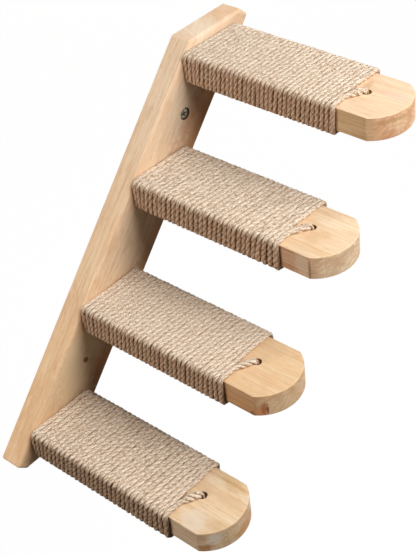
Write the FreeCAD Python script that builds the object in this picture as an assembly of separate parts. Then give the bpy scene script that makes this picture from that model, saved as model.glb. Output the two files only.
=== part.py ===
import FreeCAD, Part
import math
import os

Vector = FreeCAD.Vector

# Wall-mounted cat ladder, in millimetres: a slanting rail that screws to the wall carries
# four level steps, each wrapped in jute rope from the rail to just short of its bare nose.
# +Z is up and -Y points out of the wall. The origin is the middle of the rail's back face,
# on the wall. The rail leans towards +X as it rises, and the steps count from the top.

# Steps
step_count = 4
step_width = 75.0
step_thickness = 26.0
step_length = 247.0
step_edge_chamfer = 1.2
nose_rise = 22.0

# Rail, whose height sets how far apart the steps are
rail_height = 357.0
rail_width = 75.0
rail_depth = 26.0
rail_lean_degrees = 43.3
rail_above_top_step = 12.5
rail_below_bottom_step = 12.5
rail_tip_cut = 15.0
rail_corner_radius = 4.0
rail_tip_radius = 3.0
rail_front_edge_radius = 3.5
rail_back_edge_chamfer = 1.0

# Jute rope, pulled tight round each step so that its section is a little flattened
rope_turns = 24
rope_turn_gap = 0.55
rope_height = 5.8
rope_clearance = 0.3
rope_start_run = 7.0
rope_tail_run = 17.0
rope_sides = 8
rope_bends_per_corner = 2

# Hole in the top of each step that the rope's outer end goes down into
rope_hole_diameter = 9.5
rope_hole_from_nose = 48.0
rope_hole_from_wrap = 8.0
rope_hole_off_centre = 2.0
rope_hole_floor = 8.0
rope_tail_clearance = 0.5
rope_tail_above_floor = 5.0

# Countersunk screws, two to a step, driven through the rail from its back
step_screw_length = 60.0
step_screw_diameter = 4.5
step_screw_head_diameter = 9.0
step_screw_head_rim = 0.6
step_screw_tip = 5.0
step_screw_tip_diameter = 1.0
step_screw_pitch = 40.0
step_screw_sink = 0.8
step_screw_clearance = 0.1
step_screw_end_room = 2.0

# One glued dowel to a step, between its two screws
dowel_diameter = 8.0
dowel_length = 30.0
dowel_in_rail = 12.0
dowel_clearance = 0.1
dowel_end_room = 0.5

# Screw through the rail into the wall, between the top two steps, with its head sunk
wall_screw_length = 40.0
wall_screw_smooth_length = 22.0
wall_screw_smooth_diameter = 4.8
wall_screw_thread_diameter = 6.0
wall_screw_tip = 6.0
wall_screw_head_diameter = 11.6
wall_screw_head_height = 3.2
wall_screw_head_side = 2.8
wall_screw_crown_diameter = 10.8
wall_bore_diameter = 6.6
wall_counterbore_diameter = 13.6
wall_counterbore_depth = 4.6

# Cross recess of the screw heads
recess_arm_width = 1.4
recess_arm_span = 6.0
recess_depth = 1.6

# Flat sides that stand for a circle on the hidden pieces that repeat, and on their holes
hidden_sides = 9

# How far a cutting tool runs past the face that it enters by
overrun = 1.0

# How near a point is to an edge that it lies on
touch = 0.001

lean = math.radians(rail_lean_degrees)
step_room = rail_height - rail_above_top_step - rail_below_bottom_step
step_spacing = (step_room - step_thickness) / (step_count - 1)
rail_front = -rail_depth
outward = Vector(0, -1, 0)
upward = Vector(0, 0, 1)


def on_rail(height, y):
    """The point of the rail's middle line at this height, at this distance from the wall."""
    return Vector(height * math.tan(lean), y, height)


def step_place(index):
    """The middle of a step's root end, where it meets the rail."""
    top = rail_height / 2 - rail_above_top_step
    return on_rail(top - step_thickness / 2 - index * step_spacing, rail_front)


def between_steps(index):
    """The height half-way from a step to the next one down."""
    return (step_place(index).z + step_place(index + 1).z) / 2


def drill(diameter, start, direction, depth):
    """A round cutting tool that runs past the face at its start."""
    return Part.makeCylinder(diameter / 2, depth + overrun, start - direction * overrun, direction)


def edge_at(shape, point):
    """The edges that pass through a point."""
    mark = Part.Vertex(point)
    return [edge for edge in shape.Edges if edge.distToShape(mark)[0] < touch]


def edges_in_plane(shape, axis, offset):
    """The edges that lie in the plane at this offset along an axis."""
    return [
        edge
        for edge in shape.Edges
        if all(abs(corner.Point.dot(axis) - offset) < touch for corner in edge.Vertexes)
    ]


def many_sided(stations):
    """A hidden round piece, or a tool that cuts its hole, through (y, radius) stations."""
    rings = []
    for y, radius in stations:
        corners = []
        for side in range(hidden_sides):
            angle = 2 * math.pi * side / hidden_sides
            corners.append(Vector(radius * math.cos(angle), y, radius * math.sin(angle)))
        rings.append(Part.makePolygon(corners + corners[:1]))
    return Part.makeLoft(rings, True, True)


def cross_recess(top):
    """The cross-shaped cut of a screwdriver recess, in a head whose top is at this point."""
    tools = []
    for length, width in ((recess_arm_span, recess_arm_width), (recess_arm_width, recess_arm_span)):
        corner = top - Vector(length / 2, overrun, width / 2)
        tools.append(Part.makeBox(length, recess_depth + overrun, width, corner))
    return tools[0].fuse(tools[1])


# Fasteners of one step, in the step's own frame: its root end is at the origin, on the
# rail's front, and the rail's back is at +Y


def screw_sides():
    """The two places of a step's screws, left and right of its middle."""
    return [Vector(side * step_screw_pitch / 2, 0, 0) for side in (-1, 1)]


def screw_form(room, length):
    """The stations of a step screw, or of its hole with this much room, down to the taper."""
    top = rail_depth - step_screw_sink
    shank = step_screw_diameter / 2
    head = step_screw_head_diameter / 2
    rim = top - step_screw_head_rim
    neck = rim - (head - shank)
    return top, [(rim, head + room), (neck, shank + room), (top - length, shank + room)]


def step_screw():
    top, stations = screw_form(0, step_screw_length - step_screw_tip)
    head = (top, step_screw_head_diameter / 2)
    tip = (top - step_screw_length, step_screw_tip_diameter / 2)
    return many_sided([head] + stations + [tip])


def step_screw_hole():
    """The hole of a step screw through the rail and on into the step, with its countersink."""
    room = step_screw_clearance
    stations = screw_form(room, step_screw_length + step_screw_end_room)[1]
    mouth = (rail_depth + overrun, step_screw_head_diameter / 2 + room)
    return many_sided([mouth] + stations)


def step_dowel(room, end_room):
    """A step's dowel, or its socket with this much room round it and at its ends."""
    radius = dowel_diameter / 2 + room
    in_step = dowel_length - dowel_in_rail
    return many_sided([(dowel_in_rail + end_room, radius), (-in_step - end_room, radius)])


def joint_holes():
    holes = [step_screw_hole().translated(side) for side in screw_sides()]
    return holes + [step_dowel(dowel_clearance, dowel_end_room)]


# Rail: a board leaning on its edge, with level ends whose sharp tips are cut off square


def rail_outline():
    top = on_rail(rail_height / 2, 0)
    half_run = Vector(rail_width / 2 / math.cos(lean), 0, 0)
    along = Vector(math.sin(lean), 0, math.cos(lean))
    tip = top + half_run
    blunt = top - half_run
    tip_on_end = tip - Vector(rail_tip_cut / math.cos(lean), 0, 0)
    tip_on_side = tip - along * (rail_tip_cut * math.tan(lean))
    half = [blunt, tip_on_end, tip_on_side]
    return half + [corner * -1 for corner in half]


def rail_blank():
    corners = rail_outline()
    blank = Part.Face(Part.makePolygon(corners + corners[:1])).extrude(outward * rail_depth)
    radii = [rail_corner_radius, rail_tip_radius, rail_tip_radius] * 2
    for corner, radius in zip(corners, radii):
        blank = blank.makeFillet(radius, edge_at(blank, corner + outward * (rail_depth / 2)))
    blank = blank.makeFillet(rail_front_edge_radius, edges_in_plane(blank, outward, rail_depth))
    return blank.makeChamfer(rail_back_edge_chamfer, edges_in_plane(blank, outward, 0))


def rail():
    tools = []
    for index in range(step_count):
        tools += [hole.translated(step_place(index)) for hole in joint_holes()]
    for height in (between_steps(0), between_steps(step_count - 2)):
        tools.append(drill(wall_bore_diameter, on_rail(height, 0), outward, rail_depth + overrun))
    front = on_rail(between_steps(0), rail_front)
    tools.append(drill(wall_counterbore_diameter, front, outward * -1, wall_counterbore_depth))
    return rail_blank().cut(tools)


# Step: a board with a shallow curved nose, in its own frame


def step_outline():
    half = step_width / 2
    crease = nose_rise - step_length
    near_root, far_root = Vector(-half, 0, 0), Vector(half, 0, 0)
    near_crease, far_crease = Vector(-half, crease, 0), Vector(half, crease, 0)
    nose = Vector(0, -step_length, 0)
    edges = [
        Part.LineSegment(near_root, near_crease).toShape(),
        Part.Arc(near_crease, nose, far_crease).toShape(),
        Part.LineSegment(far_crease, far_root).toShape(),
        Part.LineSegment(far_root, near_root).toShape(),
    ]
    return Part.Wire(edges)


def rope_hole_place():
    """The middle of the rope hole's mouth, on the top of a step."""
    return Vector(rope_hole_off_centre, rope_hole_from_nose - step_length, step_thickness / 2)


def step_board():
    board = Part.Face(step_outline()).extrude(upward * step_thickness)
    board = board.translated(upward * (-step_thickness / 2))
    rims = edges_in_plane(board, upward, step_thickness / 2)
    rims += edges_in_plane(board, upward, -step_thickness / 2)
    root = [edge.hashCode() for edge in edges_in_plane(board, outward, 0)]
    rims = [edge for edge in rims if edge.hashCode() not in root]
    board = board.makeChamfer(step_edge_chamfer, rims)
    depth = step_thickness - rope_hole_floor
    rope_hole = drill(rope_hole_diameter, rope_hole_place(), upward * -1, depth)
    return board.cut([rope_hole] + joint_holes())


# Jute rope: one unbroken rope wound round a step, in the step's own frame

rope_wrap_length = step_length - rope_hole_from_nose - rope_hole_from_wrap
rope_pitch = rope_wrap_length / (rope_turns + 1)
rope_width = rope_pitch - rope_turn_gap
rope_bend_radius = step_edge_chamfer + rope_clearance + rope_height / 2
rope_side = step_width / 2 + rope_clearance + rope_height / 2
rope_level = step_thickness / 2 + rope_clearance + rope_height / 2


def rope_route():
    """The corners of the rope's middle line, from its start under the step to its tail.

    The rope lies square across the sides and top, and moves out by a turn along each underside.
    Its last pass runs a little way across the top before its tail turns off to the hole.
    """
    start_run = rope_bend_radius + rope_start_run
    lead = rope_pitch * start_run / (2 * rope_side)
    route = [Vector(start_run - rope_side, -rope_pitch / 2, -rope_level)]
    for turn in range(rope_turns + 1):
        y = -(rope_pitch / 2 + lead + turn * rope_pitch)
        route.append(Vector(-rope_side, y, -rope_level))
        route.append(Vector(-rope_side, y, rope_level))
        if turn < rope_turns:
            route.append(Vector(rope_side, y, rope_level))
            route.append(Vector(rope_side, y, -rope_level))
    route.append(Vector(rope_tail_run - step_width / 2, y, rope_level))
    mouth = rope_hole_place()
    above = Vector(mouth.x, mouth.y, rope_level)
    towards = (above - route[-1]).normalize()
    slack = rope_hole_diameter / 2 - rope_height / 2 - rope_tail_clearance
    drop = above - towards * slack
    floor = rope_hole_floor + rope_tail_above_floor - step_thickness / 2
    return route + [drop, Vector(drop.x, drop.y, floor)]


def bent(route):
    """The route with each corner turned in a few equal bends, tangent to the bend radius."""
    points = [route[0]]
    for before, corner, after in zip(route, route[1:], route[2:]):
        arrive = (corner - before).normalize()
        leave = (after - corner).normalize()
        angle = arrive.getAngle(leave)
        inward = (leave - arrive * arrive.dot(leave)).normalize()
        tangent = rope_bend_radius * math.tan(angle / 2)
        centre = corner - arrive * tangent + inward * rope_bend_radius
        half_bend = angle / (2 * rope_bends_per_corner)
        reach = rope_bend_radius / math.cos(half_bend)
        for bend in range(rope_bends_per_corner):
            turned_by = (2 * bend + 1) * half_bend
            points.append(
                centre + (arrive * math.sin(turned_by) - inward * math.cos(turned_by)) * reach
            )
    return points + [route[-1]]


def rope_section(start, following):
    """The rope's flattened section, square to its first run, with a flat side on the step."""
    along = (following - start).normalize()
    beside = (outward - along * along.dot(outward)).normalize()
    proud = along.cross(beside)
    corners = []
    for side in range(rope_sides):
        angle = (2 * side + 1) * math.pi / rope_sides
        width = rope_width / 2 * math.cos(angle) / math.cos(math.pi / rope_sides)
        height = rope_height / 2 * math.sin(angle) / math.cos(math.pi / rope_sides)
        corners.append(start + beside * width + proud * height)
    return Part.makePolygon(corners + corners[:1])


def to_segment(point, start, end):
    """The distance from a point to a straight run."""
    run = end - start
    share = max(0.0, min(1.0, (point - start).dot(run) / run.dot(run)))
    return (point - start - run * share).Length


def least_gap(points):
    """The least gap between one pass of the rope and any later one, from points along it."""
    passes_share = (0.0, 0.25, 0.5, 0.75)
    one_turn = 4 * rope_bends_per_corner
    least = rope_wrap_length
    for first in range(len(points) - 1):
        run = points[first + 1] - points[first]
        others = range(first + one_turn - 2, min(first + one_turn + 3, len(points) - 1))
        for share in passes_share:
            point = points[first] + run * share
            for other in others:
                least = min(least, to_segment(point, points[other], points[other + 1]))
    return least - rope_width


def jute_wrap():
    points = bent(rope_route())
    sweep = Part.BRepOffsetAPI.MakePipeShell(Part.makePolygon(points))
    right_corner = 1
    sweep.setTransitionMode(right_corner)
    section = rope_section(points[0], points[1])
    sweep.add(section)
    sweep.build()
    sweep.makeSolid()
    rope = sweep.shape()
    length = sum((end - start).Length for start, end in zip(points, points[1:]))
    print("rope length", round(length), "pitch", round(rope_pitch, 3), "width", round(rope_width, 3))
    print("rope volume over section times length", rope.Volume / (Part.Face(section).Area * length))
    print("least gap between turns", round(least_gap(points), 3))
    return rope


# Wall screw


def wall_screw():
    """A screw that points to +Y, with the underside of its flat head at the origin."""
    smooth = wall_screw_smooth_diameter / 2
    thread = wall_screw_thread_diameter / 2
    head = wall_screw_head_diameter / 2
    crown = wall_screw_crown_diameter / 2
    corners = [
        Vector(0, -wall_screw_head_height, 0),
        Vector(crown, -wall_screw_head_height, 0),
        Vector(head, -wall_screw_head_side, 0),
        Vector(head, 0, 0),
        Vector(smooth, 0, 0),
        Vector(smooth, wall_screw_smooth_length, 0),
        Vector(thread, wall_screw_smooth_length, 0),
        Vector(thread, wall_screw_length - wall_screw_tip, 0),
        Vector(0, wall_screw_length, 0),
    ]
    profile = Part.Face(Part.makePolygon(corners + corners[:1]))
    screw = profile.revolve(Vector(), Vector(0, 1, 0), 360)
    return screw.cut(cross_recess(corners[0]))


# Assembly


def at_each_step(pieces):
    """Copies of one step's small pieces at every step, as one compound."""
    places = [step_place(index) for index in range(step_count)]
    return Part.makeCompound([piece.translated(place) for place in places for piece in pieces])


def write(name, shape):
    shape.exportStep("parts/" + name + ".step")
    print(name, "solids", len(shape.Solids), "valid", shape.isValid(), "volume", round(shape.Volume))


def main():
    os.makedirs("parts", exist_ok=True)
    write("rail", rail())
    board = step_board()
    wrap = jute_wrap()
    for index in range(step_count):
        write("step_board_%d" % (index + 1), board.translated(step_place(index)))
        write("jute_wrap_%d" % (index + 1), wrap.translated(step_place(index)))
    write("step_screws", at_each_step([step_screw().translated(side) for side in screw_sides()]))
    write("step_dowels", at_each_step([step_dowel(0, 0)]))
    seat = on_rail(between_steps(0), rail_front + wall_counterbore_depth)
    write("wall_screw", wall_screw().translated(seat))


main()
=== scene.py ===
import math

import bpy
import numpy as np
from mathutils import Matrix, Vector, geometry

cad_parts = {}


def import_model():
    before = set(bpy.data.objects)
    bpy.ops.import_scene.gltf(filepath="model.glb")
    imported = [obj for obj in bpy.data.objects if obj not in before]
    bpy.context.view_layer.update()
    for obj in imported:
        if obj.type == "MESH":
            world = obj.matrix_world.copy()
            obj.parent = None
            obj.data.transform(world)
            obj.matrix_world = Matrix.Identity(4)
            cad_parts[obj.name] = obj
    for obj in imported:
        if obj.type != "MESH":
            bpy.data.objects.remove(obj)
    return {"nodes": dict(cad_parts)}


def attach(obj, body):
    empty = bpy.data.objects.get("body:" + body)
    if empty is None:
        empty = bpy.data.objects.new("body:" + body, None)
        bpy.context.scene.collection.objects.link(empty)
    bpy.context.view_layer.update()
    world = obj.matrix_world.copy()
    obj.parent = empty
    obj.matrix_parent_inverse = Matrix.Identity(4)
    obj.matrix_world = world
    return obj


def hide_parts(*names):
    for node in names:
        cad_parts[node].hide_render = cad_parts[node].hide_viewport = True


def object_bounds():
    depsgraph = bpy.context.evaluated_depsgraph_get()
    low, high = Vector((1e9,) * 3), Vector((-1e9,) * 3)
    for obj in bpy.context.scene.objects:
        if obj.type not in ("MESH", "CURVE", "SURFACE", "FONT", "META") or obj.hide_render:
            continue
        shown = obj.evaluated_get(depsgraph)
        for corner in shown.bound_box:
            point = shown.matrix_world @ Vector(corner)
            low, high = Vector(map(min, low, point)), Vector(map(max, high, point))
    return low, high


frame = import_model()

# Dress of the wall-mounted cat ladder, in metres in the frame of its solids: +Z is up, -Y
# points out of the wall, and the steps count from the top

cad_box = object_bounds()
mm = 0.001
x_axis, y_axis, z_axis = Vector((1, 0, 0)), Vector((0, 1, 0)), Vector((0, 0, 1))

# Steps
step_count = 4
step_width = 75 * mm
step_thickness = 26 * mm
step_length = 247 * mm
step_edge_radius = 1.3 * mm
step_strip_width = 31 * mm
nose_rise = 22 * mm

# Rail
rail_height = 357 * mm
rail_front = -26 * mm
rail_above_top_step = 12.5 * mm
rail_below_bottom_step = 12.5 * mm
rail_strip_width = 40 * mm
lean = math.radians(43.3)
wall_hole_along = 140.16 * mm

# Holes of a step: the rope's hole from above, and those of its fasteners from its root
rope_hole_radius = 4.75 * mm
rope_hole_rim = 0.5 * mm
rope_hole_from_nose = 48 * mm
rope_hole_off_centre = 2 * mm
rope_hole_floor = 8 * mm
screw_hole_radius = 2.35 * mm
screw_hole_depth = 37.2 * mm
screw_hole_pitch = 40 * mm
dowel_hole_radius = 4.1 * mm
dowel_hole_depth = 18.5 * mm

# Jute rope of three strands
rope_turns = (33, 30, 32, 30)
rope_wrap_length = 191 * mm
rope_width_of_pitch = 0.995
rope_overlap = 1.01
rope_press_start = 0.93
rope_height = 5.0 * mm
rope_clearance = 0.3 * mm
rope_clearance_share = 0.8
rope_start_run = 7 * mm
rope_lay = 23 * mm
rope_shoulder_power = 0.75
strand_centre_share = 0.3
strand_radius_share = 0.7

# How the turns lean outwards across the top, up the sides and from the near side to the far
rope_top_advance_share = 0.33
rope_side_tilts = (0.125, 0.16, 0.13, 0.18)
rope_top_tilts = (0.01, 0.07, 0.035, 0.045)
rope_tilt_run = 22 * mm

# The rope's tail, from the last turn into the hole, with its reach measured from its end
rope_tail_run = 17 * mm
rope_tail_bend = 12 * mm
rope_tail_reach = 34 * mm
rope_tail_onset = 8 * mm
rope_tail_end = 7 * mm
rope_tail_end_onset = 4 * mm
rope_tail_above_floor = 5 * mm
rope_tail_swell_share = 0.27
rope_tail_groove_share = 0.24
rope_tail_loosening = (0.26, 0.0, 0.0, 0.3)
rope_tail_loose_from = 14 * mm
rope_tail_loose_onset = 8 * mm
# How much deeper the painted groove shade is along the tail
rope_tail_groove_shade = 0.3
rope_hole_slack = 1.2 * mm

# How the rope wanders along its length, each as (amount, usual run of a wave)
twist_wander = (1.6, 110 * mm)
strand_wander = (0.045, 14 * mm)
size_wander = (0.02, 40 * mm)
sway_wander = (0.3 * mm, 50 * mm)
wave_count = 5
wave_stretch = (0.5, 2.0)
rope_seed = 100

# Loose fibres, rooted on the rope's rings as counted from its ends
fuzz_count = 900
fuzz_first_ring = 2
fuzz_last_ring = 14
tail_fuzz_count = 70
tail_fuzz_rings = (22, 34)
fuzz_radius = 0.06 * mm
fuzz_taper = 0.6
fuzz_lengths = (1.5 * mm, 4.5 * mm)
fuzz_curls = (0.1, 0.3)
fuzz_curl_power = 1.6
fuzz_across = 0.6
thread_sides = 3
thread_runs = 3

# The rope's tone from step to step, painted lighter on the lower steps, and its painted shade in
# the grooves between strands, in the gaps between turns and on the step's sides, darker down the
# steps
jute_step_light = (0.95, 0.98, 1.03, 1.05)
jute_groove_shade_tones = (0.3, 0.32, 0.5, 0.55)
jute_side_groove_shade = 0.85
jute_gap_shade_tones = (0.06, 0.05, 0.15, 0.26)
jute_side_gap_shade_tones = (0.5, 0.8, 0.72, 0.86)
jute_side_shade_tones = (0.8, 0.71, 0.6, 0.47)
jute_side_shade_green = 0.84
jute_side_shade_blue = 0.74
jute_relief = 0.4 * mm

# Figure of the wood
strip_start = 3.3
strip_start_by_seed = 0.29
strip_shifts = (0.7, 3.0, 0.9)
glue_line_width = 0.35 * mm
ring_gap = 5.5 * mm
ring_warp = 24 * mm
pith_slope = 0.16
pith_side_reach = 90 * mm
pith_depth = 30 * mm
pith_depth_reach = 50 * mm
wood_relief = 0.06 * mm
hole_wall_softness = 0.2 * mm

# Finish of the meshes
edge_steps = 5
arc_steps = 56
hole_steps = 48
hole_rim_steps = 3
sharp_degrees = 22
flat_face_weight = 100
rope_bend_steps = 6
rope_ring_gap = 1.65 * mm
rope_ring_sides = 18

# Camera, from the photograph: where it stands, and its right, down and forward directions
image_width = 416
image_height = 555
focal_pixels = 1242.26
centre_x_pixels = 256
centre_y_pixels = 234
camera_place = Vector((-693.81, -826.22, 782.98)) * mm
camera_right = Vector((0.62693, -0.77546, -0.07428))
camera_down = Vector((-0.50685, -0.33371, -0.79460))
camera_forward = Vector((0.59170, 0.53600, -0.60261))
sensor_width = 36.0

# Floor, which shows white and lights the piece faintly, and the light of the room
floor_drop = 300 * mm
floor_half_width = 6.0
floor_paint = 0.8
floor_glow = 1.02
floor_glow_share = 0.95
floor_bounce = 0.12
room_light = 0.02

# Lamps, as name, degrees to the right of the front, degrees up, distance, size, power, colour
white, warm = (1, 1, 1), (1.0, 0.94, 0.87)
lamp_target = Vector((0.04, -0.14, 0.04))
lamp_kinds = (
    ("key", 30, 57, 1.5, 1.05, 16.9, white),
    ("front", 6, 29, 1.2, 0.5, 7.2, white),
    ("left", -110, 12, 2.4, 2.0, 40.0, warm),
    ("behind", 135, 12, 2.4, 1.8, 16.0, warm),
)


# Places on the steps


def step_place(index):
    """The middle of a step's root end, on the rail's front."""
    room = rail_height - rail_above_top_step - rail_below_bottom_step
    spacing = (room - step_thickness) / (step_count - 1)
    z = rail_height / 2 - rail_above_top_step - step_thickness / 2 - index * spacing
    return Vector((z * math.tan(lean), rail_front, z))


def rope_hole_place():
    """The middle of the rope hole's mouth, in a step's own frame."""
    return Vector((rope_hole_off_centre, rope_hole_from_nose - step_length, step_thickness / 2))


# Meshes


def new_mesh_object(name, points, faces, material):
    mesh = bpy.data.meshes.new(name)
    mesh.from_pydata(points, [], faces)
    mesh.update()
    mesh.materials.append(material)
    piece = bpy.data.objects.new(name, mesh)
    bpy.context.scene.collection.objects.link(piece)
    return piece


def shade_smooth(mesh):
    mesh.polygons.foreach_set("use_smooth", [True] * len(mesh.polygons))


def keep_edges(piece):
    """Smooth shading with the hard edges kept, and flat faces that stay flat."""
    shade_smooth(piece.data)
    piece.data.set_sharp_from_angle(angle=math.radians(sharp_degrees))
    weighted = piece.modifiers.new("flat_faces", "WEIGHTED_NORMAL")
    weighted.keep_sharp = True
    weighted.weight = flat_face_weight


def join_rings(faces, lower, upper, closed):
    """Quads between two rings of point numbers of one length."""
    count = len(lower)
    last = count if closed else count - 1
    for at in range(last):
        following = (at + 1) % count
        faces.append((lower[at], lower[following], upper[following], upper[at]))


def add_ring(points, ring):
    first = len(points)
    points.extend(ring)
    return list(range(first, len(points)))


def fill(points, faces, loops, upward):
    """Triangles over a flat outline, the first loop, with the other loops as its holes."""
    numbers = [number for loop in loops for number in loop]
    flat = [[Vector(points[number]) for number in loop] for loop in loops]
    for triangle in geometry.tessellate_polygon(flat):
        corners = [numbers[at] for at in triangle]
        a, b, c = [Vector(points[number]) for number in corners]
        if (b - a).cross(c - a).dot(upward) < 0:
            corners.reverse()
        faces.append(tuple(corners))


def circle(centre, radius, axes, count):
    ring = []
    for at in range(count):
        angle = 2 * math.pi * at / count
        ring.append(centre + (axes[0] * math.cos(angle) + axes[1] * math.sin(angle)) * radius)
    return ring


# Step board, in its own frame


def step_outline(inset):
    """The board's outline from near root round the nose to far root, moved in by this much."""
    half = step_width / 2
    radius = (half * half + nose_rise * nose_rise) / (2 * nose_rise)
    centre = Vector((0, radius - step_length, 0))
    side = half - inset
    swing = math.asin(side / (radius - inset))
    outline = [Vector((-side, 0, 0))]
    for at in range(arc_steps + 1):
        angle = swing * (2 * at / arc_steps - 1)
        towards = Vector((math.sin(angle), -math.cos(angle), 0))
        outline.append(towards * (radius - inset) + centre)
    outline.append(Vector((side, 0, 0)))
    return outline


def edge_levels():
    """(height, inset) of the board's rings, from its underside to its top, with round edges."""
    half = step_thickness / 2
    quarter = []
    for at in range(edge_steps + 1):
        angle = math.pi / 2 * at / edge_steps
        inset = step_edge_radius * (1 - math.sin(angle))
        quarter.append((half - step_edge_radius * (1 - math.cos(angle)), inset))
    levels = [(-height, inset) for height, inset in quarter]
    return levels + [(height, inset) for height, inset in reversed(quarter)]


def blind_hole(points, faces, mouth, inward, radius, depth, rim, axes, count):
    """A hole's rim, wall and floor. Returns the mouth's ring for the face that it is in."""
    levels = []
    for at in range(hole_rim_steps if rim else 0):
        angle = math.pi / 2 * at / hole_rim_steps
        levels.append((rim * (1 - math.cos(angle)), radius + rim * (1 - math.sin(angle))))
    levels += [(rim, radius), (depth, radius)]
    rings = [
        add_ring(points, circle(mouth + inward * level, ring_radius, axes, count))
        for level, ring_radius in levels
    ]
    for upper, lower in zip(rings, rings[1:]):
        join_rings(faces, lower, upper, True)
    faces.append(tuple(rings[-1]))
    return rings[0]


def rope_hole(points, faces):
    depth = step_thickness - rope_hole_floor
    return blind_hole(
        points, faces, rope_hole_place(), -z_axis, rope_hole_radius, depth,
        rope_hole_rim, (x_axis, y_axis), hole_steps,
    )


def fastener_holes(points, faces):
    """The mouths of the two screw holes and the dowel hole in a board's root end."""
    half_pitch = screw_hole_pitch / 2
    holes = [(side * half_pitch, screw_hole_radius, screw_hole_depth) for side in (-1, 1)]
    holes.append((0, dowel_hole_radius, dowel_hole_depth))
    return [
        blind_hole(
            points, faces, x_axis * x, -y_axis, radius, depth,
            0, (z_axis, x_axis), hole_steps // 2,
        )
        for x, radius, depth in holes
    ]


def step_board(index):
    points, faces, rings = [], [], []
    for height, inset in edge_levels():
        outline = [point + z_axis * height for point in step_outline(inset)]
        rings.append(add_ring(points, outline))
    for lower, upper in zip(rings, rings[1:]):
        join_rings(faces, lower, upper, False)
    fill(points, faces, [rings[-1], rope_hole(points, faces)], z_axis)
    fill(points, faces, [rings[0]], -z_axis)
    root = [ring[0] for ring in rings] + [ring[-1] for ring in reversed(rings)]
    fill(points, faces, [root] + fastener_holes(points, faces), y_axis)
    place = step_place(index)
    points = [point + place for point in points]
    piece = new_mesh_object("board_%d" % (index + 1), points, faces, step_wood(index))
    keep_edges(piece)
    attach(piece, "root")
    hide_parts("step_board_%d" % (index + 1))


# Jute rope, in a step's own frame


def rope_levels():
    """Half the width and half the height of the rope's middle line round a step."""
    lift = rope_clearance + rope_height / 2
    return step_width / 2 + lift, step_thickness / 2 + lift


def rope_pitch(index):
    return rope_wrap_length / (rope_turns[index] + 1)


def rope_corners(index):
    """The rope's corners and their bend radii, from under the step to its end in the hole."""
    side, level = rope_levels()
    pitch = rope_pitch(index)
    tight = rope_clearance + rope_height / 2 + step_edge_radius
    corners = [Vector((rope_start_run - side, -pitch / 2, -level))]
    for turn in range(rope_turns[index] + 1):
        y = -(pitch / 2 + turn * pitch)
        across = y - pitch * rope_top_advance_share
        corners.append(Vector((-side, y, -level)))
        corners.append(Vector((-side, y, level)))
        if turn < rope_turns[index]:
            corners.append(Vector((side, across, level)))
            corners.append(Vector((side, across, -level)))
    corners.append(Vector((rope_tail_run - step_width / 2, y, level)))
    mouth = rope_hole_place()
    above = Vector((mouth.x, mouth.y, level))
    towards = (above - corners[-1]).normalized()
    drop = above - towards * rope_hole_slack
    end_level = rope_hole_floor + rope_tail_above_floor - step_thickness / 2
    radii = [tight] * (len(corners) - 2) + [rope_tail_bend, tight]
    return corners + [drop, Vector((drop.x, drop.y, end_level))], radii


def rounded(corners, radii):
    """The same line with each corner turned in an arc."""
    line = [corners[0]]
    for before, corner, after, radius in zip(corners, corners[1:], corners[2:], radii):
        arrive = (corner - before).normalized()
        leave = (after - corner).normalized()
        angle = arrive.angle(leave)
        inward = (leave - arrive * arrive.dot(leave)).normalized()
        start = corner - arrive * (radius * math.tan(angle / 2))
        centre = start + inward * radius
        for at in range(rope_bend_steps + 1):
            turned = angle * at / rope_bend_steps
            line.append(centre + (arrive * math.sin(turned) - inward * math.cos(turned)) * radius)
    return line + [corners[-1]]


def tilted(index, places):
    """The turns moved outwards at the top and far side, as they lean, but not at either end of
    the winding. Returned with how much wider that makes each turn."""
    lead = rope_side_tilts[index] * places[:, 2] + rope_top_tilts[index] * places[:, 0]
    from_rail = -places[:, 1]
    from_end = rope_wrap_length + places[:, 1]
    rising = (from_rail > 0) & (from_rail < rope_tilt_run)
    falling = (from_end > 0) & (from_end < rope_tilt_run)
    share = np.clip(from_rail / rope_tilt_run, 0, 1) * np.clip(from_end / rope_tilt_run, 0, 1)
    spread = 1 + lead / rope_tilt_run * (rising.astype(float) - falling.astype(float))
    moved = places.copy()
    moved[:, 1] -= share * lead
    return moved, spread


def evenly(line, gap):
    """Points at equal steps along a line, as an array, with their distances along it."""
    places = np.array([tuple(point) for point in line])
    lengths = np.linalg.norm(np.diff(places, axis=0), axis=1)
    along = np.concatenate([[0], np.cumsum(lengths)])
    count = int(along[-1] / gap) + 1
    wanted = np.linspace(0, along[-1], count)
    return np.stack([np.interp(wanted, along, places[:, axis]) for axis in range(3)], 1), wanted


def wander(kind, along, random):
    """A smooth wander along the rope, from a few waves of random length and phase."""
    amount, run = kind
    total = np.zeros_like(along)
    for _ in range(wave_count):
        length = run * random.uniform(*wave_stretch)
        total += np.sin(2 * math.pi * (along / length + random.uniform()))
    return amount * (total / math.sqrt(wave_count))


def strand_section(angles):
    """The radius of three strands laid together, as a share of the rope's own, from a groove."""
    third = 2 * math.pi / 3
    within = angles % third - third / 2
    across = strand_centre_share * np.sin(within)
    return strand_centre_share * np.cos(within) + np.sqrt(strand_radius_share**2 - across**2)


def strand_swell(around, along, random):
    """How much thicker than usual each strand is along the rope, and nothing in its grooves."""
    third = 2 * math.pi / 3
    swell = np.zeros((len(along), len(around)))
    for strand in range(3):
        on_strand = (around // third).astype(int) == strand
        crown = np.sin(math.pi * (around % third) / third) * on_strand
        swell += wander(strand_wander, along, random)[:, None] * crown[None, :]
    return swell


def share_of(values):
    return (values - values.min()) / (values.max() - values.min())


def pressed(values, limit):
    """Values that level off towards a limit, as where one turn presses on the next."""
    start = limit * rope_press_start
    size = np.abs(values)
    over = np.maximum(size - start, 0)
    squeezed = start + (limit - start) * (1 - np.exp(-over / (limit - start)))
    return np.sign(values) * np.where(size > start, squeezed, size)


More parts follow.
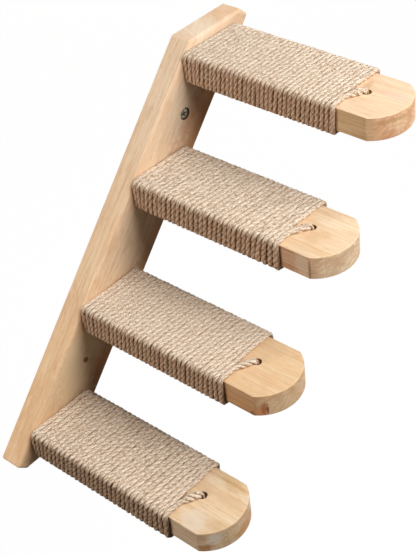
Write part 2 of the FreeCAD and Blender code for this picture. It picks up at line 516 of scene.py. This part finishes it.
def rope_tail(index, along):
    """How much each point belongs to the slack tail, and how much thicker the rope is there."""
    left = along[-1] - along
    onset = np.clip((rope_tail_reach - left) / rope_tail_onset, 0, 1)
    tail = onset * np.clip((left - rope_tail_end) / rope_tail_end_onset, 0, 1)
    loose = np.clip((left - rope_tail_loose_from) / rope_tail_loose_onset, 0, 1)
    return tail, (rope_tail_swell_share + rope_tail_loosening[index] * loose) * tail


def rope_frames(places):
    """The directions beside the rope and away from the wood at each point."""
    along = np.gradient(places, axis=0)
    along /= np.linalg.norm(along, axis=1)[:, None]
    outward = np.array([0.0, -1.0, 0.0])
    beside = outward - along * (along @ outward)[:, None]
    beside /= np.linalg.norm(beside, axis=1)[:, None]
    return beside, np.cross(beside, along)


def rope_skin(index, places, spread, along, random):
    """A ring of points about each place, with the shares that the rope's map holds."""
    beside, proud = rope_frames(places)
    around = np.arange(rope_ring_sides) * 2 * math.pi / rope_ring_sides
    twist = 2 * math.pi * along / rope_lay + wander(twist_wander, along, random)
    angles = around[None, :] + twist[:, None]
    tail, swollen = rope_tail(index, along)
    crown = share_of(strand_section(around))
    section = strand_section(around)[None, :] + strand_swell(around, along, random)
    section = section - rope_tail_groove_share * tail[:, None] * (1 - crown)[None, :] ** 2
    size = (1 + wander(size_wander, along, random)) * (1 + swollen)
    half_width = rope_pitch(index) * rope_width_of_pitch / 2
    limit = half_width * (spread * (1 + swollen))[:, None]
    wide = rope_overlap * half_width * (size * spread)[:, None] * section * np.cos(angles)
    wide = pressed(wide, limit)
    rise = np.sign(np.sin(angles)) * np.abs(np.sin(angles)) ** rope_shoulder_power
    high = -rope_height / 2 * size[:, None] * section * rise
    high = np.maximum(high, -(rope_height / 2 + rope_clearance * rope_clearance_share))
    sway = wander(sway_wander, along, random)
    skin = (
        places[:, None, :]
        + beside[:, None, :] * (wide + sway[:, None])[:, :, None]
        + proud[:, None, :] * high[:, :, None]
    )
    shares = {
        # the strand share, lowered in the tail's grooves to deepen their painted shade
        "strand": crown[None, :] - rope_tail_groove_shade * tail[:, None] * (1 - crown)[None, :],
        "aside": np.abs(wide) / limit * (1 - tail[:, None]),
        # how much the rope faces up: where it does not, the jute gets painted shade
        "worn": np.repeat(np.clip(proud[:, 2:], 0, 1), rope_ring_sides, 1),
    }
    return skin, shares


def rope_faces(rings):
    sides = rope_ring_sides
    first = np.arange(rings - 1)[:, None] * sides + np.arange(sides)[None, :]
    second = np.arange(rings - 1)[:, None] * sides + (np.arange(sides) + 1)[None, :] % sides
    quads = np.stack([first, second, second + sides, first + sides], 2).reshape(-1, 4)
    faces = [tuple(int(number) for number in quad) for quad in quads]
    last = (rings - 1) * sides
    faces.append(tuple(range(sides - 1, -1, -1)))
    faces.append(tuple(range(last, last + sides)))
    return faces


def rope_map(mesh, along, shares):
    """The rope's map, as metres along it and turns about it, and for each point how far it is
    from the groove between two strands, and near the gap between two turns, and how much it faces
    up, for the painted shade on its sides."""
    sides = rope_ring_sides
    corners = np.zeros(len(mesh.loops), np.int64)
    mesh.loops.foreach_get("vertex_index", corners)
    ring, side = corners // sides, corners % sides
    quads = (len(along) - 1) * sides
    seam = np.zeros(len(corners), bool)
    seam[: 4 * quads] = np.repeat((np.arange(quads) % sides) == sides - 1, 4)
    turn = np.where(seam & (side == 0), 1.0, side / sides)
    layer = mesh.uv_layers.new(name="rope")
    layer.uv.foreach_set("vector", np.stack([along[ring], turn], 1).astype(np.float32).ravel())
    for name, values in shares.items():
        attribute = mesh.attributes.new(name, "FLOAT", "POINT")
        attribute.data.foreach_set("value", values.astype(np.float32).ravel())


def jute_rope(index):
    random = np.random.default_rng(rope_seed + index)
    places, along = evenly(rounded(*rope_corners(index)), rope_ring_gap)
    places, spread = tilted(index, places)
    skin, shares = rope_skin(index, places, spread, along, random)
    place = np.array(tuple(step_place(index)))
    skin = skin + place
    points = skin.reshape(-1, 3).tolist()
    name = "jute_rope_%d" % (index + 1)
    piece = new_mesh_object(name, points, rope_faces(len(places)), jute(index))
    rope_map(piece.data, along, shares)
    shade_smooth(piece.data)
    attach(piece, "root")
    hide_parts("jute_wrap_%d" % (index + 1))
    fuzz(index, skin, places + place, random)


def add_thread(points, faces, root, lie, away, across, random):
    """A thin thread that lies along the rope from its root and curls away from it."""
    length = random.uniform(*fuzz_lengths)
    curl = random.uniform(*fuzz_curls)
    rings = []
    for at in range(thread_runs + 1):
        share = at / thread_runs
        lift = curl * length * share * (fuzz_curl_power - share) - fuzz_radius
        middle = root + lie * length * share + away * lift
        thin = fuzz_radius * (1 - fuzz_taper * share)
        ring = circle(middle, thin, (away, across), thread_sides)
        rings.append(add_ring(points, [tuple(point) for point in ring]))
    for lower, upper in zip(rings, rings[1:]):
        join_rings(faces, lower, upper, True)
    faces.append(tuple(reversed(rings[0])))
    faces.append(tuple(rings[-1]))


def fuzz(index, skin, centres, random):
    """Loose fibres that stand off the rope."""
    points, faces = [], []
    rings = len(centres)
    for hair in range(fuzz_count + tail_fuzz_count):
        if hair < fuzz_count:
            ring = int(random.integers(fuzz_first_ring, rings - fuzz_last_ring))
        else:
            ring = rings - int(random.integers(*tail_fuzz_rings))
        root = skin[ring, int(random.integers(0, rope_ring_sides))]
        away = root - centres[ring]
        away /= np.linalg.norm(away)
        run = centres[ring + 1] - centres[ring - 1]
        run /= np.linalg.norm(run)
        across = np.cross(run, away)
        lie = run * random.normal(0, 1) + across * random.normal(0, fuzz_across)
        lie /= np.linalg.norm(lie)
        add_thread(points, faces, root, lie, away, across, random)
    name = "jute_fuzz_%d" % (index + 1)
    piece = new_mesh_object(name, points, faces, loose_fibre(index))
    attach(piece, "root")


# Materials


class Nodes:
    """A material's nodes, with short ways to add and link them."""

    def __init__(self, name):
        self.material = bpy.data.materials.new(name)
        self.material.use_nodes = True
        self.tree = self.material.node_tree
        self.shader = self.tree.nodes["Principled BSDF"]

    def put(self, socket, value):
        """Links the value into the socket, or sets it there if it is a constant."""
        if isinstance(value, bpy.types.NodeSocket):
            self.tree.links.new(value, socket)
        else:
            socket.default_value = value

    def add(self, kind, settings=None, **inputs):
        node = self.tree.nodes.new(kind)
        for key, value in (settings or {}).items():
            setattr(node, key, value)
        for key, value in inputs.items():
            self.put(node.inputs[key.replace("_", " ")], value)
        return node

    def feed(self, key, value):
        self.put(self.shader.inputs[key], value)

    def math(self, operation, first, second=0.0):
        node = self.add("ShaderNodeMath", {"operation": operation})
        self.put(node.inputs[0], first)
        self.put(node.inputs[1], second)
        return node.outputs[0]

    def mix(self, share, first, second, kind="MIX"):
        node = self.add("ShaderNodeMix", {"data_type": "RGBA", "blend_type": kind})
        for at, value in ((0, share), (6, first), (7, second)):
            self.put(node.inputs[at], value)
        return node.outputs[2]

    def blend(self, share, first, second):
        node = self.add("ShaderNodeMixShader")
        for at, value in enumerate((share, first, second)):
            self.put(node.inputs[at], value)
        return node.outputs[0]

    def ramp(self, value, low, high, to_low=0.0, to_high=1.0):
        """A smooth step between two levels, as the value goes from low to high."""
        node = self.add(
            "ShaderNodeMapRange", {"interpolation_type": "SMOOTHSTEP"}, Value=value,
            From_Min=low, From_Max=high, To_Min=to_low, To_Max=to_high,
        )
        return node.outputs["Result"]

    def noise(self, vector, scale, detail, roughness, distortion=0.0):
        node = self.add(
            "ShaderNodeTexNoise", {"noise_dimensions": "3D"}, Vector=vector, Scale=scale,
            Detail=detail, Roughness=roughness, Distortion=distortion,
        )
        return node.outputs["Fac"]

    def streaks(self, vector, scales, detail, roughness, distortion=0.0, location=(0, 0, 0)):
        """Noise that is drawn out by a scale for each direction."""
        drawn = self.mapped(vector, scales, location=location)
        return self.noise(drawn, 1.0, detail, roughness, distortion)

    def split(self, vector, kind="ShaderNodeSeparateXYZ"):
        node = self.tree.nodes.new(kind)
        self.tree.links.new(vector, node.inputs[0])
        return node.outputs[0], node.outputs[1], node.outputs[2]

    def join(self, *parts):
        node = self.tree.nodes.new("ShaderNodeCombineXYZ")
        for at, value in enumerate(parts):
            self.put(node.inputs[at], value)
        return node.outputs[0]

    def mapped(self, vector, scale=(1, 1, 1), rotation=(0, 0, 0), location=(0, 0, 0)):
        node = self.add(
            "ShaderNodeMapping", {"vector_type": "POINT"}, Vector=vector, Scale=scale,
            Rotation=rotation, Location=location,
        )
        return node.outputs["Vector"]

    def attribute(self, name):
        return self.add("ShaderNodeAttribute", {"attribute_name": name}).outputs["Fac"]

    def bump(self, height, distance, strength):
        node = self.add("ShaderNodeBump", Strength=strength, Distance=distance, Height=height)
        return node.outputs["Normal"]


def colour(red, green, blue):
    """A linear colour from the three values that it shows, of 255."""
    shown = [value / 255 for value in (red, green, blue)]
    linear = [v / 12.92 if v <= 0.04045 else ((v + 0.055) / 1.055) ** 2.4 for v in shown]
    return (*linear, 1.0)


def stain_or_painted_light(make, tone, place, centre, reach, shade, share):
    """A soft ragged patch of another colour about a point of the piece, both in millimetres, used
    for real stains and for painted light and shade.
    """
    scale = [1 / (size * mm) for size in reach]
    away = make.mapped(place, scale, location=[-c / r for c, r in zip(centre, reach)])
    length = make.add("ShaderNodeVectorMath", {"operation": "LENGTH"}, Vector=away)
    ragged = make.math("MULTIPLY", make.noise(place, 210, 4, 0.65), 1.6)
    edge = make.math("ADD", length.outputs["Value"], ragged)
    return make.mix(make.ramp(edge, 1.95, 1.25, 0.0, share), tone, shade)


def painted_hole_shade(make, tone, place, centre, radius, shade):
    """Painted shade on a drilled hole's walls, about an axis along the third direction."""
    x, y, _ = make.split(place)
    across = make.math("POWER", make.math("SUBTRACT", x, centre[0]), 2.0)
    up = make.math("POWER", make.math("SUBTRACT", y, centre[1]), 2.0)
    away = make.math("SQRT", make.math("ADD", across, up))
    return make.mix(make.ramp(away, radius + hole_wall_softness, radius, 0.0, 0.9), tone, shade)


# Wood, whose figure is laid out in the piece's own directions: across, along and through it


def own_frame(make, turns, middle):
    """The place and the face's direction in the piece's own turned frame."""
    coordinates = make.add("ShaderNodeTexCoord")
    place, normal = coordinates.outputs["Object"], coordinates.outputs["Normal"]
    for turn in turns:
        place = make.mapped(place, rotation=turn)
        normal = make.mapped(normal, rotation=turn)
    return make.mapped(place, location=[-value for value in middle]), normal


def glued_strips(make, x, seed, strip_width):
    """The place across the glued strips, in strips, and three chance numbers for each strip."""
    start = strip_width * (strip_start + strip_start_by_seed * seed)
    strip = make.math("DIVIDE", make.math("ADD", x, start), strip_width)
    number = make.math("ADD", make.math("FLOOR", strip), 17.0 * seed)
    chance = make.add("ShaderNodeTexWhiteNoise", {"noise_dimensions": "1D"}, W=number)
    return strip, make.split(chance.outputs["Color"], "ShaderNodeSeparateColor")


def growth_rings(make, moved, place, chances):
    """Rings about a pith that lies askew below each strip."""
    x, y, z = place
    first, second, third = chances
    slope = make.math("MULTIPLY", make.math("SUBTRACT", second, 0.5), pith_slope)
    pith_x = make.math("MULTIPLY", make.math("SUBTRACT", first, 0.5), pith_side_reach)
    pith_x = make.math("ADD", pith_x, make.math("MULTIPLY", y, slope))
    pith_z = make.math("SUBTRACT", make.math("MULTIPLY", third, -pith_depth_reach), pith_depth)
    across = make.math("POWER", make.math("SUBTRACT", x, pith_x), 2.0)
    deep = make.math("POWER", make.math("SUBTRACT", z, pith_z), 2.0)
    reach = make.math("SQRT", make.math("ADD", across, deep))
    warp = make.math("MULTIPLY", make.streaks(moved, (26, 7, 26), 3, 0.5), ring_warp)
    turned = make.math("MULTIPLY", make.math("ADD", reach, warp), 2 * math.pi / ring_gap)
    return make.ramp(make.math("SINE", turned), -0.6, 1.0)


def long_grain(make, moved, ring, fine, look):
    """Bands, clouds, rings and fibres that run along the board."""
    pale, base, dark = look["tones"]
    bands = make.streaks(moved, (60, 4, 60), 4, 0.65, 0.6)
    cloud = make.streaks(moved, (34, 16, 34), 4, 0.6, 0.4)
    tone = make.mix(make.ramp(bands, 0.4, 0.6), pale, base)
    tone = make.mix(make.ramp(cloud, 0.46, 0.7, 0.0, 0.7), tone, dark)
    tone = make.mix(make.math("MULTIPLY", ring, look["rings"]), tone, dark)
    return make.mix(make.ramp(fine, 0.47, 0.66, 0.0, look["grain"]), tone, dark)


def glue_lines(make, tone, strip, strip_width):
    joint = make.math("ABSOLUTE", make.math("SUBTRACT", make.math("FRACT", strip), 0.5))
    line = make.ramp(joint, 0.5 - glue_line_width / strip_width, 0.5, 0.0, 0.3)
    return make.mix(line, tone, colour(190, 145, 100))


def end_grain(make, tone, place, facing, ring, seed, look):
    """The blotched and pored grain of the faces that cut across the fibres."""
    pale, dark = look["end"]
    blotch = make.streaks(place, (50, 20, 60), 5, 0.62, 0.2, (seed, 0, 0))
    pores = make.streaks(place, (520, 520, 170), 2, 0.6)
    rays = make.streaks(place, (560, 560, 45), 3, 0.6)
    end_tone = make.mix(make.ramp(blotch, 0.44, 0.6), pale, dark)
    for pattern, share in ((pores, 0.3), (rays, 0.55), (ring, 0.3)):
        end_tone = make.mix(make.ramp(pattern, 0.5, 0.72, 0.0, share), end_tone, dark)
    ended = make.ramp(make.math("ABSOLUTE", facing), 0.5, 0.72)
    return make.mix(ended, tone, make.mix(0.9, tone, end_tone, "MULTIPLY"))


def side_grain(make, tone, moved, facing, look):
    """The close lines of the faces along the board's two long sides, which are also darkened there
    as painted shade, more on the lower steps.
    """
    lines = make.streaks(moved, (200, 9, 900), 4, 0.65)
    side_lines_and_shade = make.mix(make.ramp(lines, 0.45, 0.62), *look["side"])
    sided = make.ramp(make.math("ABSOLUTE", facing), 0.6, 0.95)
    return make.mix(sided, tone, make.mix(1.0, tone, side_lines_and_shade, "MULTIPLY"))


def marks(make, tone, place, y, look):
    """A tint towards the foot, stains and patches of painted light and shade, and painted shade on
    the walls of drilled holes.
    """
    if "foot" in look:
        tinted = make.mix(1.0, tone, look["foot"], "MULTIPLY")
        tone = make.mix(make.ramp(y, -0.2, 0.2), tone, tinted)
    for patch in look["stains_and_painted_light"]:
        tone = stain_or_painted_light(make, tone, place, *patch)
    for wall in look.get("hole_shades", ()):
        tone = painted_hole_shade(make, tone, place, *wall)
    return tone


def wood(name, turns, middle, seed, strip_width, look):
    """Rubberwood of strips glued side by side, cut through growth rings that show on every face."""
    make = Nodes(name)
    place, normal = own_frame(make, turns, middle)
    parts = make.split(place)
    facing_side, facing_end, _ = make.split(normal)
    strip, chances = glued_strips(make, parts[0], seed, strip_width)
    moved = make.join(*(
        make.math("ADD", part, make.math("MULTIPLY", chance, shift))
        for part, chance, shift in zip(parts, chances, strip_shifts)
    ))
    ring = growth_rings(make, moved, parts, chances)
    fine = make.streaks(moved, look["fibres"], 3, 0.65)
    dash = make.ramp(make.streaks(moved, (2000, 80, 2000), 1, 0.5), 0.62, 0.72)
    tone = long_grain(make, moved, ring, fine, look)
    tone = make.mix(make.math("MULTIPLY", chances[0], 0.3), tone, look["strip"])
    tone = glue_lines(make, tone, strip, strip_width)
    tone = end_grain(make, tone, place, facing_end, ring, seed, look)
    tone = side_grain(make, tone, moved, facing_side, look)
    tone = make.mix(make.math("MULTIPLY", dash, look["flecks"]), tone, colour(158, 112, 74))
    make.feed("Base Color", marks(make, tone, place, parts[1], look))
    make.feed("Roughness", make.ramp(fine, 0.3, 0.7, 0.46, 0.6))
    make.shader.inputs["Specular IOR Level"].default_value = 0.06
    height = make.math("SUBTRACT", make.math("MULTIPLY", fine, 0.5), dash)
    make.feed("Normal", make.bump(height, wood_relief, 0.7))
    return make.material


# Looks: tones of the long, end and side grain, the side tones darkened as painted shade, and stains
# and patches of painted light and shade as (centre, reach, colour, share), with the centre and
# reach in millimetres in the piece's own frame


def step_looks():
    """How each board looks, as they are cut from different strips, with painted shade on their long
    sides that deepens down the steps.
    """
    return (
        {
            "tones": (colour(248, 223, 190), colour(243, 213, 177), colour(230, 189, 151)),
            "strip": colour(240, 202, 170),
            "end": (colour(255, 244, 232), colour(232, 200, 184)),
            "side": (colour(230, 224, 208), colour(202, 190, 168)),
            "stains_and_painted_light": (
                ((28, -237, -2), (11, 10, 14), colour(226, 166, 134), 0.75),
                ((-18, -238, 6.5), (24, 14, 3.4), colour(206, 156, 110), 0.75),
                ((10, -228, 13), (7, 22, 2), colour(240, 204, 180), 0.5),
                ((13, -193, 13), (9, 5, 3), colour(216, 164, 116), 0.5),
            ),
        },
        {
            "tones": (colour(250, 227, 193), colour(243, 213, 175), colour(228, 187, 145)),
            "strip": colour(238, 200, 160),
            "end": (colour(255, 255, 255), colour(236, 228, 226)),
            "side": (colour(216, 200, 194), colour(184, 156, 146)),
            "stains_and_painted_light": (
                ((-37.5, -217, 0), (8, 11, 22), colour(226, 204, 178), 0.5),
                ((-37.3, -225.4, -3), (1.3, 1.7, 16), colour(132, 98, 70), 0.7),
                ((15, -212, 13), (4, 20, 2), colour(254, 238, 212), 0.4),
            ),
        },
        {
            "tones": (colour(243, 213, 175), colour(238, 203, 160), colour(222, 181, 137)),
            "strip": colour(234, 194, 150),
            "end": (colour(255, 255, 255), colour(238, 224, 216)),
            "side": (colour(212, 196, 184), colour(178, 156, 142)),
            "stains_and_painted_light": (
                ((-34.5, -229.5, -8.5), (8, 8, 8), colour(204, 142, 100), 0.75),
                ((-31, -233.4, -4.5), (3.6, 3.4, 12), colour(176, 106, 68), 0.8),
                ((-29, -235.7, -6), (1.2, 1.7, 10.5), colour(124, 74, 46), 0.8),
                ((-37.5, -224, -11), (3.5, 3.5, 5), colour(112, 72, 46), 0.7),
                ((10, -245, 2), (15, 6, 6), colour(226, 198, 168), 0.5),
                ((-10, -226, 13), (14, 8, 2), colour(230, 188, 144), 0.4),
            ),
        },
        {
            "tones": (colour(249, 226, 194), colour(241, 211, 173), colour(216, 179, 134)),
            "strip": colour(234, 196, 150),
            "end": (colour(255, 254, 252), colour(234, 220, 212)),
            "side": (colour(214, 212, 214), colour(184, 178, 176)),
            "stains_and_painted_light": (
                ((-27, -213, 13), (17, 16, 3), colour(242, 228, 210), 0.5),
                ((11, -226, 13), (8, 18, 3), colour(224, 186, 146), 0.5),
                ((30, -214, 13), (2.6, 26, 3), colour(206, 166, 112), 0.6),
                ((10, -244, -6), (20, 10, 9), colour(212, 156, 106), 0.8),
                ((-24, -236, 4), (11, 9, 9), colour(232, 216, 200), 0.8),
                ((26, -238, 6), (9, 9, 8), colour(234, 220, 206), 0.85),
                ((-33, -230, -9), (10, 9, 7), colour(176, 124, 80), 0.85),
            ),
        },
    )


def step_wood(index):
    look = {"fibres": (540, 14, 540), "grain": 0.55, "rings": 0.24, "flecks": 0.32}
    look.update(step_looks()[index])
    name = "step_wood_%d" % (index + 1)
    return wood(name, (), step_place(index), 1 + index, step_strip_width, look)


def rail_wood():
    """The rail's grain runs along it, so its material turns with it."""
    turns = ((0, -lean, 0), (math.pi / 2, 0, 0))
    look = {
        "tones": (colour(255, 235, 208), colour(246, 219, 186), colour(226, 184, 148)),
        "strip": colour(242, 208, 170),
        "end": (colour(255, 255, 255), colour(252, 238, 228)),
        "side": (colour(252, 254, 255), colour(246, 240, 238)),
        "foot": colour(253, 243, 229),
        "fibres": (700, 24, 700),
        "grain": 0.65,
        "rings": 0.16,
        "flecks": 0.4,
        "stains_and_painted_light": (
            ((-18, -230, -13), (26, 30, 30), colour(252, 234, 210), 0.45),
            ((17, -256, -13), (22, 26, 30), colour(242, 202, 160), 0.4),
            ((2, -236, -26), (34, 30, 5), colour(238, 206, 176), 0.5),
            # darker patches down the middle of the front, below steps 1, 2 and 3
            ((8, -150, -26), (10, 60, 5), colour(226, 176, 142), 0.55),
            ((2, -60, -26), (9, 60, 5), colour(230, 182, 146), 0.5),
            ((10, 90, -26), (9, 50, 5), colour(222, 172, 132), 0.4),
            # painted light: a pale patch that lightens the shaded front between steps 3 and 4
            ((-8, 142, -26), (30, 66, 6), colour(255, 228, 186), 0.6),
            # painted shade: warm, darker patches on the right of the front, where the steps above
            # shade it
            ((35, -20, -26), (15, 260, 6), colour(232, 172, 118), 0.55),
            ((27, -140, -26), (22, 50, 6), colour(238, 164, 94), 0.55),
            ((30, 0, -26), (18, 40, 6), colour(238, 176, 118), 0.35),
            ((32, 140, -26), (16, 40, 6), colour(218, 144, 82), 0.6),
        ),
        "hole_shades": (
            # painted shade in the screw's recess and in the lower wall hole
            ((0, -wall_hole_along), 6.9 * mm, colour(112, 80, 54)),
            ((0, wall_hole_along), 3.4 * mm, colour(222, 164, 118)),
        ),
    }
    return wood("rail_wood", turns, (0, 0, 0), 9, rail_strip_width, look)


# Jute and steel


def jute_fibres(make, place, fibre):
    """Fibres that lie along the rope, whose pale tone is partly the fibres' own and partly painted
    glints, with brown tufts and faint blotches among them.
    """
    tuft = make.streaks(place, (400, 22, 1), 2, 0.6, location=(5, 0, 0))
    blotch = make.streaks(place, (28, 1, 1), 3, 0.6, location=(9, 0, 0))
    tone = make.mix(make.ramp(fibre, 0.38, 0.6), colour(236, 209, 181), colour(255, 244, 226))
    tone = make.mix(make.ramp(tuft, 0.5, 0.62, 0.0, 0.9), tone, colour(160, 122, 90))
    return make.mix(make.ramp(blotch, 0.45, 0.8, 0.0, 0.25), tone, colour(204, 174, 146))


def jute_crevice_shade(make, tone, place, worn, index):
    """Painted shade in the grooves between the strands and in the gaps between the turns, which
    close up here and there and are fainter on top of the step."""
    strand, aside = make.attribute("strand"), make.attribute("aside")
    groove_tone = make.ramp(worn, 0.0, 1.0, jute_side_groove_shade, jute_groove_shade_tones[index])
    groove = make.math("MULTIPLY", make.ramp(strand, 0.55, -0.05), groove_tone)
    tone = make.mix(groove, tone, colour(146, 104, 72))
    gap_tone = make.ramp(worn, 0.0, 1.0, jute_side_gap_shade_tones[index], jute_gap_shade_tones[index])
    gap = make.math("MULTIPLY", make.ramp(aside, 0.66, 0.98), gap_tone)
    gap = make.math("MULTIPLY", gap, make.ramp(strand, 0.35, 0.95, 1.0, 0.4))
    open_gap = make.streaks(place, (75, 1, 1), 2, 0.6, location=(2, 0, 0))
    gap = make.math("MULTIPLY", gap, make.ramp(open_gap, 0.38, 0.6, 0.45, 1.1))
    # painted shade in the gaps between turns
    return make.mix(gap, tone, colour(92, 58, 34))


def jute(index):
    """Spun jute, with painted shade on the sides of the step, darker than on top."""
    make = Nodes("jute_%d" % (index + 1))
    along, turn, _ = make.split(make.add("ShaderNodeUVMap", {"uv_map": "rope"}).outputs["UV"])
    fibre_turn = make.math("ADD", turn, make.math("MULTIPLY", along, 0.8 / rope_lay))
    place = make.join(along, fibre_turn, 0.31 * (index + 1))
    fibre = make.streaks(place, (420, 30, 1), 4, 0.75)
    worn = make.attribute("worn")
    tone = jute_crevice_shade(make, jute_fibres(make, place, fibre), place, worn, index)
    # painted shade on the sides of the step, darker on the lower steps
    shade = jute_side_shade_tones[index]
    side_shade_tint = (shade, jute_side_shade_green * shade, jute_side_shade_blue * shade, 1)
    tone = make.mix(worn, make.mix(1.0, tone, side_shade_tint, "MULTIPLY"), tone)
    # painted light: the ropes of the lower steps are lightened against the shade of the steps above
    tone = make.mix(1.0, tone, (*(jute_step_light[index],) * 3, 1), "MULTIPLY")
    make.feed("Base Color", tone)
    make.shader.inputs["Roughness"].default_value = 0.85
    make.shader.inputs["Specular IOR Level"].default_value = 0.02
    make.feed("Normal", make.bump(fibre, jute_relief, 0.9))
    return make.material


def loose_fibre(index):
    make = Nodes("loose_fibre_%d" % (index + 1))
    patch = make.noise(make.add("ShaderNodeTexCoord").outputs["Object"], 160, 2, 0.5)
    tone = make.mix(patch, colour(214, 188, 156), colour(242, 228, 206))
    make.feed("Base Color", tone)
    make.shader.inputs["Roughness"].default_value = 0.8
    make.shader.inputs["Specular IOR Level"].default_value = 0.2
    return make.material


def steel(name, tone, gloss, roughness):
    make = Nodes(name)
    # bright patches: scuffs on the step screws, painted glints on the wall screw
    scuffs_and_glints = make.noise(make.add("ShaderNodeTexCoord").outputs["Object"], 900, 3, 0.6)
    make.shader.inputs["Metallic"].default_value = 1.0
    make.feed("Base Color", make.mix(make.ramp(scuffs_and_glints, 0.4, 0.7), tone, gloss))
    make.feed("Roughness", make.ramp(scuffs_and_glints, 0.3, 0.7, roughness, roughness + 0.12))
    return make.material


def dress(name, material):
    """A better finish on a node whose shape is right."""
    piece = frame["nodes"][name]
    if not piece.data.materials:
        piece.data.materials.append(material)
    for slot in piece.material_slots:
        slot.material = material


# Floor, lamps and camera


def floor_material():
    """White to the eye and to what mirrors it, and dull to the light that it sends back."""
    make = Nodes("floor")
    make.shader.inputs["Base Color"].default_value = (floor_paint, floor_paint, floor_paint, 1)
    make.shader.inputs["Roughness"].default_value = 1.0
    make.shader.inputs["Specular IOR Level"].default_value = 0.0
    rays = make.add("ShaderNodeLightPath")
    shown = make.math("MAXIMUM", rays.outputs["Is Camera Ray"], rays.outputs["Is Glossy Ray"])
    shown = make.math("MAXIMUM", shown, rays.outputs["Is Transmission Ray"])
    glow = make.add("ShaderNodeEmission", Strength=floor_glow)
    dull = make.add("ShaderNodeBsdfDiffuse", Color=(floor_bounce, floor_bounce, floor_bounce, 1))
    bright = make.blend(floor_glow_share, make.shader.outputs[0], glow.outputs[0])
    mixed = make.blend(shown, dull.outputs[0], bright)
    make.tree.links.new(mixed, make.tree.nodes["Material Output"].inputs[0])
    return make.material


def floor():
    half = floor_half_width
    level = cad_box[0][2] - floor_drop
    corners = [(x * half, y * half, level) for x, y in ((-1, -1), (1, -1), (1, 1), (-1, 1))]
    piece = new_mesh_object("floor", corners, [(0, 1, 2, 3)], floor_material())


def world():
    sky = bpy.data.worlds.new("studio")
    bpy.context.scene.world = sky
    sky.use_nodes = True
    nodes, links = sky.node_tree.nodes, sky.node_tree.links
    background = nodes["Background"]
    background.inputs["Color"].default_value = (1, 1, 1, 1)
    rays = nodes.new("ShaderNodeLightPath")
    seen = nodes.new("ShaderNodeMath")
    seen.operation = "MAXIMUM"
    links.new(rays.outputs["Is Camera Ray"], seen.inputs[0])
    links.new(rays.outputs["Is Glossy Ray"], seen.inputs[1])
    level = nodes.new("ShaderNodeMapRange")
    level.inputs["To Min"].default_value = room_light
    level.inputs["To Max"].default_value = 1.0
    links.new(seen.outputs[0], level.inputs["Value"])
    links.new(level.outputs["Result"], background.inputs["Strength"])


def lamp(name, turn, lift, away, size, power, tone):
    """A round lamp that looks at the middle of the steps."""
    turn, lift = math.radians(turn), math.radians(lift)
    out = math.cos(lift)
    towards = Vector((math.sin(turn) * out, -math.cos(turn) * out, math.sin(lift)))
    place = lamp_target + towards * away
    data = bpy.data.lights.new(name, "AREA")
    data.shape = "DISK"
    data.size = size
    data.energy = power
    data.color = tone
    piece = bpy.data.objects.new(name, data)
    piece.location = place
    piece.rotation_euler = (lamp_target - place).to_track_quat("-Z", "Y").to_euler()
    bpy.context.scene.collection.objects.link(piece)


def camera():
    data = bpy.data.cameras.new("photo_camera")
    data.sensor_fit = "AUTO"
    data.sensor_width = sensor_width
    data.lens = focal_pixels / image_height * sensor_width
    data.shift_x = (image_width / 2 - centre_x_pixels) / image_height
    data.shift_y = (centre_y_pixels - image_height / 2) / image_height
    data.clip_start = 10 * mm
    piece = bpy.data.objects.new("photo_camera", data)
    turn = Matrix((camera_right, -camera_down, -camera_forward)).transposed()
    piece.matrix_world = Matrix.Translation(camera_place) @ turn.to_4x4()
    bpy.context.scene.collection.objects.link(piece)
    bpy.context.scene.camera = piece


def main():
    bpy.context.scene.view_settings.view_transform = "Standard"
    camera()
    world()
    for kind in lamp_kinds:
        lamp(*kind)
    floor()
    dress("rail", rail_wood())
    # painted shade and reflection: the wall screw's steel is dark brown like its shaded recess,
    # with painted glints
    dress("wall_screw", steel("wall_screw_steel", colour(54, 44, 32), colour(196, 180, 160), 0.24))
    dress("step_screws", steel("screw_steel", colour(200, 180, 140), colour(225, 222, 215), 0.35))
    dress("step_dowels", step_wood(0))
    for index in range(step_count):
        step_board(index)
        jute_rope(index)


main()
